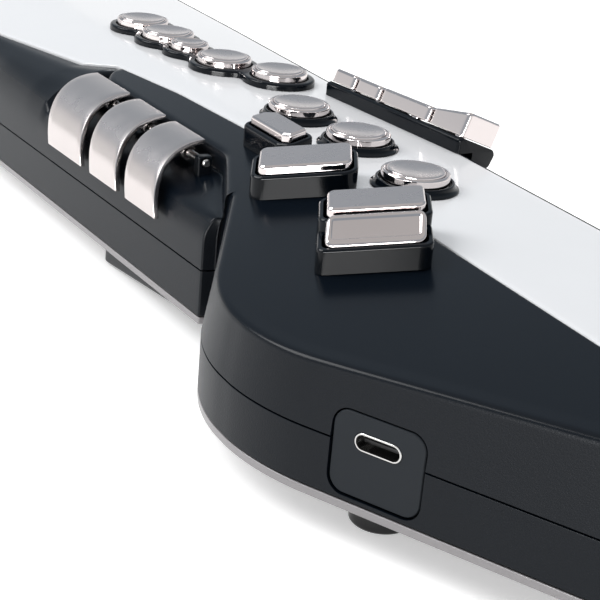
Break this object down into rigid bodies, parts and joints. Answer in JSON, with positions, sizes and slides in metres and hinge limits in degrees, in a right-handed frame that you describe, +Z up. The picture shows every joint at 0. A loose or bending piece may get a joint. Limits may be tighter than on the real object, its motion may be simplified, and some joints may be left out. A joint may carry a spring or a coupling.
{
  "type": "digital wind instrument",
  "caption": "Saxophone-style electronic wind instrument: two-part body with a white front, sprung finger keys, side keys, jack plate, mouthpiece.",
  "frame": {"origin": "centre of the bounding box on the plane that the rubber feet stand on", "axes": "+Z up through the keys, +Y from the bell to the mouthpiece, +X across to the side of the little-finger pod"},
  "size_m": [0.0952, 0.559, 0.0492],
  "materials": {
    "black_plastic": "slate black moulded plastic, semi-gloss top, fine spark-eroded grain on the side walls",
    "white_panel": "polished white",
    "silver_plate": "satin silver paint",
    "key_chrome": "dark nickel, satin tops",
    "rubber": "black",
    "circuit_board": "green solder mask",
    "steel": "nickel plated",
    "cell_wrap": "plain printed sleeve",
    "display_glass": "dark window"
  },
  "bodies": {
    "body": {"upper_shell": "black_plastic", "lower_shell": "black_plastic", "jack_plate": "black_plastic", "cluster_base": "black_plastic", "left_hand_base": "black_plastic", "low_key_tray": "black_plastic", "trill_key_tray": "black_plastic", "side_f_sharp_tray": "black_plastic", "r1_ring": "black_plastic", "r2_ring": "black_plastic", "r3_ring": "black_plastic", "neck_collar": "black_plastic", "mouthpiece": "black_plastic", "front_panel": "white_panel", "back_plate": "silver_plate", "bell_foot_left": "rubber", "bell_foot_right": "rubber", "neck_foot": "rubber", "main_board": "circuit_board", "key_board": "circuit_board", "breath_sensor": "circuit_board", "usb_socket": "steel", "phones_jack": "steel", "side_key_rod": "steel", "speaker_left": "steel", "speaker_right": "steel", "battery_pack": "cell_wrap", "display_window": "display_glass"},
    "battery_cover": {"battery_cover": "black_plastic"},
    "strap_ring": {"strap_ring": "steel"},
    "thumb_rest": {"thumb_rest": "rubber"},
    "r1_key": {"r1_key": "key_chrome"},
    "r2_key": {"r2_key": "key_chrome"},
    "r3_key": {"r3_key": "key_chrome"},
    "l3_key": {"l3_key": "key_chrome"},
    "bis_key": {"bis_key": "key_chrome"},
    "l2_key": {"l2_key": "key_chrome"},
    "l1_key": {"l1_key": "key_chrome"},
    "front_f_key": {"front_f_key": "key_chrome"},
    "low_e_flat_key": {"low_e_flat_key": "key_chrome"},
    "low_c_key": {"low_c_key": "key_chrome"},
    "trill_key": {"trill_key": "key_chrome"},
    "side_f_sharp_key": {"side_f_sharp_key": "key_chrome"},
    "low_b_flat_key": {"low_b_flat_key": "key_chrome"},
    "low_b_key": {"low_b_key": "key_chrome"},
    "low_c_sharp_key": {"low_c_sharp_key": "key_chrome"},
    "g_sharp_key": {"g_sharp_key": "key_chrome"},
    "high_d_key": {"high_d_key": "key_chrome"},
    "high_e_flat_key": {"high_e_flat_key": "key_chrome"},
    "high_f_key": {"high_f_key": "key_chrome"},
    "octave_down_key": {"octave_down_key": "key_chrome"},
    "octave_up_key": {"octave_up_key": "key_chrome"},
    "menu_button": {"menu_button": "silver_plate"},
    "enter_button": {"enter_button": "silver_plate"},
    "power_button": {"power_button": "silver_plate"},
    "side_c_key": {"side_c_key": "key_chrome"},
    "side_b_flat_key": {"side_b_flat_key": "key_chrome"},
    "side_high_e_key": {"side_high_e_key": "key_chrome"},
    "bite_plate": {"bite_plate": "rubber"}
  },
  "joints": [
    {"name": "battery_cover_hinge", "type": "hinge", "parent": "body", "child": "battery_cover", "pos_m": [0.0039, -0.08046, 0.0062], "axis": [1, 0, 0], "range_deg": [0, 60]},
    {"name": "strap_ring_swing", "type": "hinge", "parent": "body", "child": "strap_ring", "pos_m": [0.0039, -0.01346, 0.0047], "axis": [-1, 0, 0], "range_deg": [0, 180]},
    {"name": "thumb_rest_slide", "type": "slide", "parent": "body", "child": "thumb_rest", "axis": [0, 1, 0], "range_m": [-0.008, 0.008]},
    {"name": "r1_key_press", "type": "slide", "parent": "body", "child": "r1_key", "axis": [0, 0, -1], "range_m": [0, 0.001], "stiffness_N_per_m": 300, "springref_m": -0.0005},
    {"name": "r2_key_press", "type": "slide", "parent": "body", "child": "r2_key", "axis": [0, 0, -1], "range_m": [0, 0.001], "stiffness_N_per_m": 300, "springref_m": -0.0005},
    {"name": "r3_key_press", "type": "slide", "parent": "body", "child": "r3_key", "axis": [0, 0, -1], "range_m": [0, 0.001], "stiffness_N_per_m": 300, "springref_m": -0.0005},
    {"name": "l3_key_press", "type": "slide", "parent": "body", "child": "l3_key", "axis": [0, 0, -1], "range_m": [0, 0.001], "stiffness_N_per_m": 300, "springref_m": -0.0005},
    {"name": "bis_key_press", "type": "slide", "parent": "body", "child": "bis_key", "axis": [0, 0, -1], "range_m": [0, 0.001], "stiffness_N_per_m": 300, "springref_m": -0.0005},
    {"name": "l2_key_press", "type": "slide", "parent": "body", "child": "l2_key", "axis": [0, 0, -1], "range_m": [0, 0.001], "stiffness_N_per_m": 300, "springref_m": -0.0005},
    {"name": "l1_key_press", "type": "slide", "parent": "body", "child": "l1_key", "axis": [0, 0, -1], "range_m": [0, 0.001], "stiffness_N_per_m": 300, "springref_m": -0.0005},
    {"name": "front_f_key_press", "type": "slide", "parent": "body", "child": "front_f_key", "axis": [0, 0, -1], "range_m": [0, 0.001], "stiffness_N_per_m": 300, "springref_m": -0.0005},
    {"name": "low_e_flat_key_press", "type": "slide", "parent": "body", "child": "low_e_flat_key", "axis": [0, 0, -1], "range_m": [0, 0.0018], "stiffness_N_per_m": 300, "springref_m": -0.0009},
    {"name": "low_c_key_press", "type": "slide", "parent": "body", "child": "low_c_key", "axis": [0, 0, -1], "range_m": [0, 0.0018], "stiffness_N_per_m": 300, "springref_m": -0.0009},
    {"name": "trill_key_press", "type": "slide", "parent": "body", "child": "trill_key", "axis": [0, 0, -1], "range_m": [0, 0.0018], "stiffness_N_per_m": 300, "springref_m": -0.0009},
    {"name": "side_f_sharp_key_press", "type": "slide", "parent": "body", "child": "side_f_sharp_key", "axis": [0, 0, -1], "range_m": [0, 0.0018], "stiffness_N_per_m": 300, "springref_m": -0.0009},
    {"name": "low_b_flat_key_press", "type": "slide", "parent": "body", "child": "low_b_flat_key", "axis": [-0.3489, -0.0171, -0.937], "range_m": [0, 0.0012], "stiffness_N_per_m": 400, "springref_m": -0.0006},
    {"name": "low_b_key_press", "type": "slide", "parent": "body", "child": "low_b_key", "axis": [-0.3489, -0.0171, -0.937], "range_m": [0, 0.0012], "stiffness_N_per_m": 400, "springref_m": -0.0006},
    {"name": "low_c_sharp_key_press", "type": "slide", "parent": "body", "child": "low_c_sharp_key", "axis": [-0.3489, -0.0171, -0.937], "range_m": [0, 0.0012], "stiffness_N_per_m": 400, "springref_m": -0.0006},
    {"name": "g_sharp_key_press", "type": "slide", "parent": "body", "child": "g_sharp_key", "axis": [-0.3489, -0.0171, -0.937], "range_m": [0, 0.0012], "stiffness_N_per_m": 400, "springref_m": -0.0006},
    {"name": "high_d_key_press", "type": "slide", "parent": "body", "child": "high_d_key", "axis": [-1, 0, 0], "range_m": [0, 0.0015], "stiffness_N_per_m": 350, "springref_m": -0.00075},
    {"name": "high_e_flat_key_press", "type": "slide", "parent": "body", "child": "high_e_flat_key", "axis": [-1, 0, 0], "range_m": [0, 0.0015], "stiffness_N_per_m": 350, "springref_m": -0.00075},
    {"name": "high_f_key_press", "type": "slide", "parent": "body", "child": "high_f_key", "axis": [-1, 0, 0], "range_m": [0, 0.0015], "stiffness_N_per_m": 350, "springref_m": -0.00075},
    {"name": "octave_down_key_press", "type": "slide", "parent": "body", "child": "octave_down_key", "axis": [0, 0, 1], "range_m": [0, 0.0015], "stiffness_N_per_m": 350, "springref_m": -0.00075},
    {"name": "octave_up_key_press", "type": "slide", "parent": "body", "child": "octave_up_key", "axis": [0, 0, 1], "range_m": [0, 0.0015], "stiffness_N_per_m": 350, "springref_m": -0.00075},
    {"name": "menu_button_press", "type": "slide", "parent": "body", "child": "menu_button", "axis": [0, 0, 1], "range_m": [0, 0.001], "stiffness_N_per_m": 500, "springref_m": -0.0005},
    {"name": "enter_button_press", "type": "slide", "parent": "body", "child": "enter_button", "axis": [0, 0, 1], "range_m": [0, 0.001], "stiffness_N_per_m": 500, "springref_m": -0.0005},
    {"name": "power_button_press", "type": "slide", "parent": "body", "child": "power_button", "axis": [0, 0, 1], "range_m": [0, 0.001], "stiffness_N_per_m": 500, "springref_m": -0.0005},
    {"name": "side_c_key_swing", "type": "hinge", "parent": "body", "child": "side_c_key", "pos_m": [-0.0193, -0.10366, 0.03514], "axis": [0.0445, -0.9989, -0.0173], "range_deg": [0, 3.5], "stiffness_Nm_per_rad": 0.17, "springref_deg": -1.72},
    {"name": "side_b_flat_key_swing", "type": "hinge", "parent": "body", "child": "side_b_flat_key", "pos_m": [-0.02024, -0.08276, 0.0355], "axis": [0.0445, -0.9989, -0.0173], "range_deg": [0, 3.5], "stiffness_Nm_per_rad": 0.17, "springref_deg": -1.72},
    {"name": "side_high_e_key_swing", "type": "hinge", "parent": "body", "child": "side_high_e_key", "pos_m": [-0.02131, -0.05876, 0.03592], "axis": [0.0445, -0.9989, -0.0173], "range_deg": [0, 3.5], "stiffness_Nm_per_rad": 0.17, "springref_deg": -1.72},
    {"name": "bite_plate_flex", "type": "hinge", "parent": "body", "child": "bite_plate", "pos_m": [0.0039, 0.22744, 0.00946], "axis": [1, 0, 0], "range_deg": [0, 0.85], "stiffness_Nm_per_rad": 1, "springref_deg": -0.34}
  ]
}
